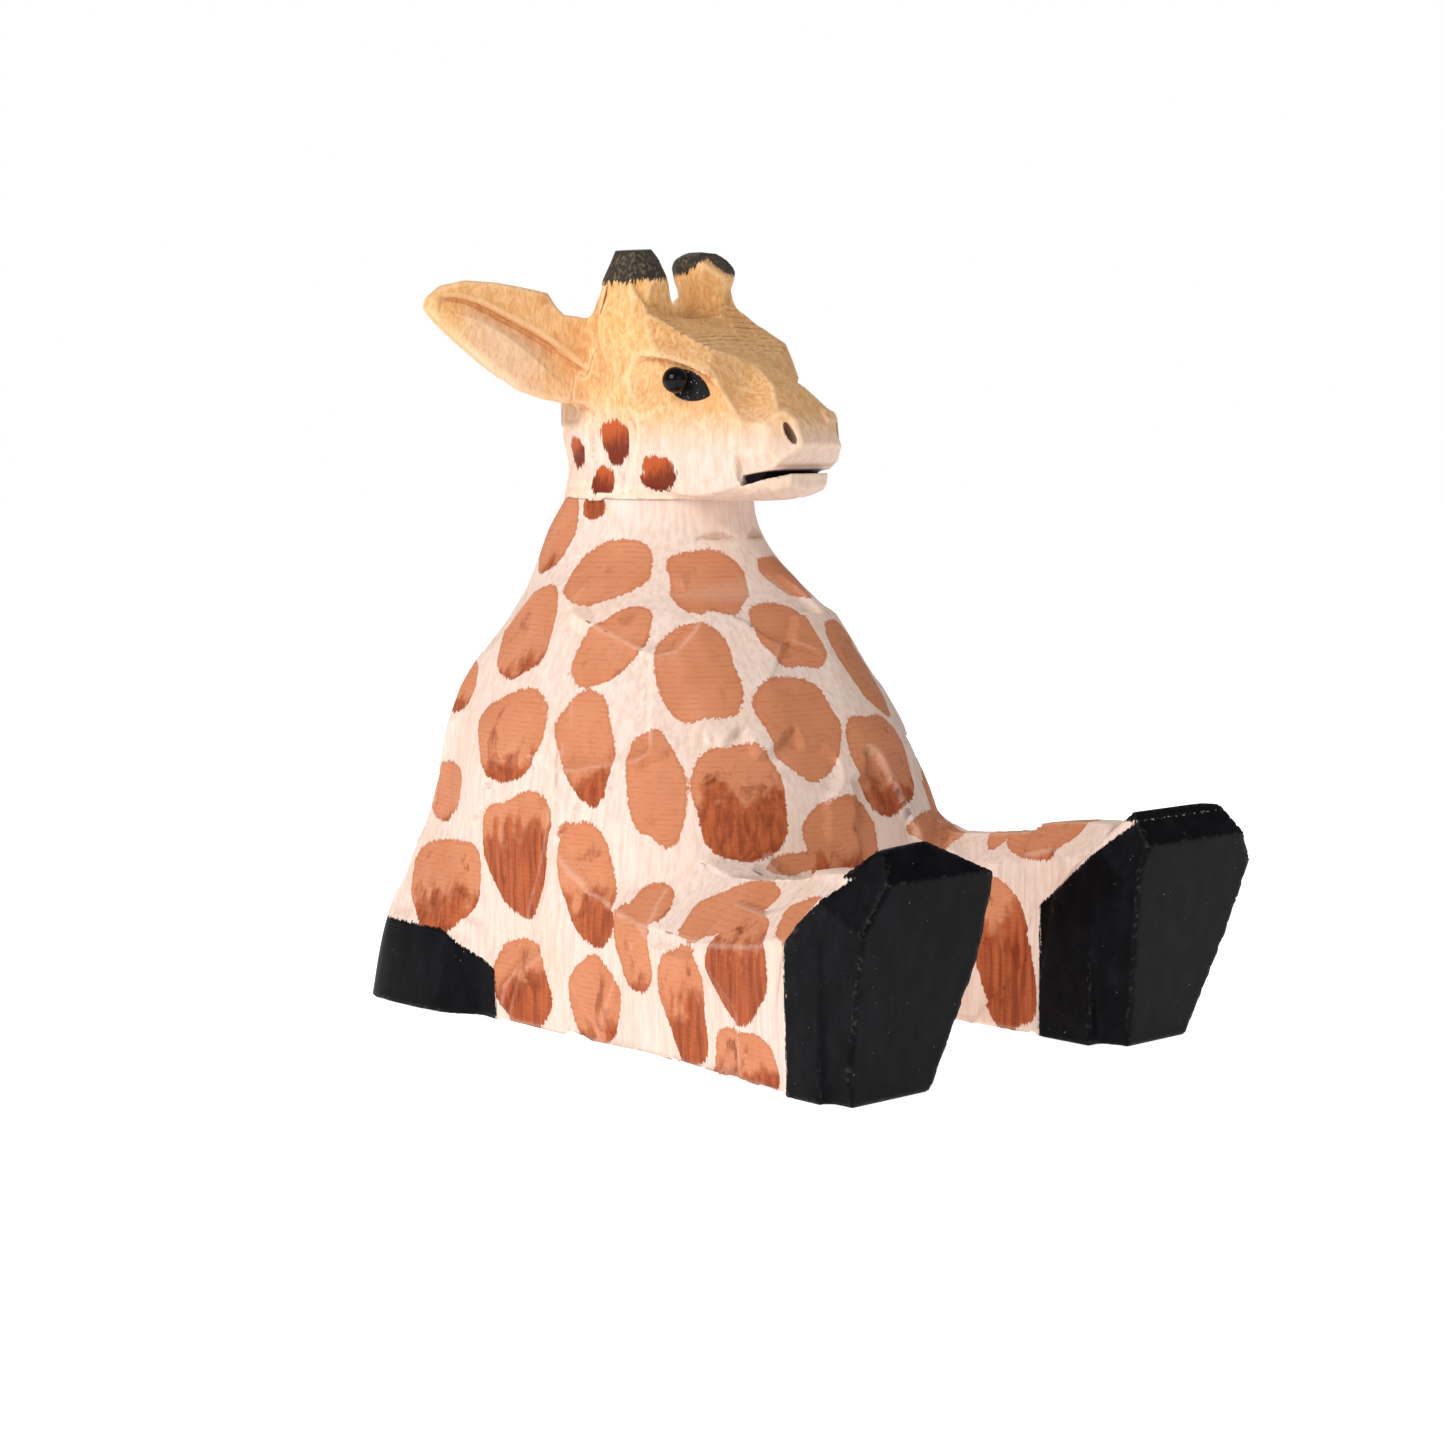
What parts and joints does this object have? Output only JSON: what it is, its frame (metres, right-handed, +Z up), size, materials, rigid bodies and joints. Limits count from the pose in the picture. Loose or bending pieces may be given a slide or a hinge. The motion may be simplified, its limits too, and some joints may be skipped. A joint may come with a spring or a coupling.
{
  "type": "carved animal figurine",
  "caption": "Carved and painted wooden giraffe figurine that sits on its rump with its hind legs stretched out and its head turned aside; a small shelf or desk ornament.",
  "frame": {"origin": "on the ground, under the middle of the whole object's box", "axes": "+Z up; the giraffe faces -Y with its hind legs stretched out that way; its right side is -X and its left side +X"},
  "size_m": [0.0636, 0.0888, 0.0889],
  "materials": {
    "painted_body_wood": "satin",
    "painted_head_wood": "satin",
    "painted_ear_wood": "satin",
    "dowel_wood": "matte",
    "bamboo": "matte",
    "black_glass": "gloss"
  },
  "bodies": {
    "root": {"body": "painted_body_wood", "head": "painted_head_wood", "neck_dowel": "dowel_wood", "right_ear": "painted_ear_wood", "left_ear": "painted_ear_wood", "right_ear_pin": "bamboo", "left_ear_pin": "bamboo", "right_eye": "black_glass", "left_eye": "black_glass"}
  },
  "joints": []
}
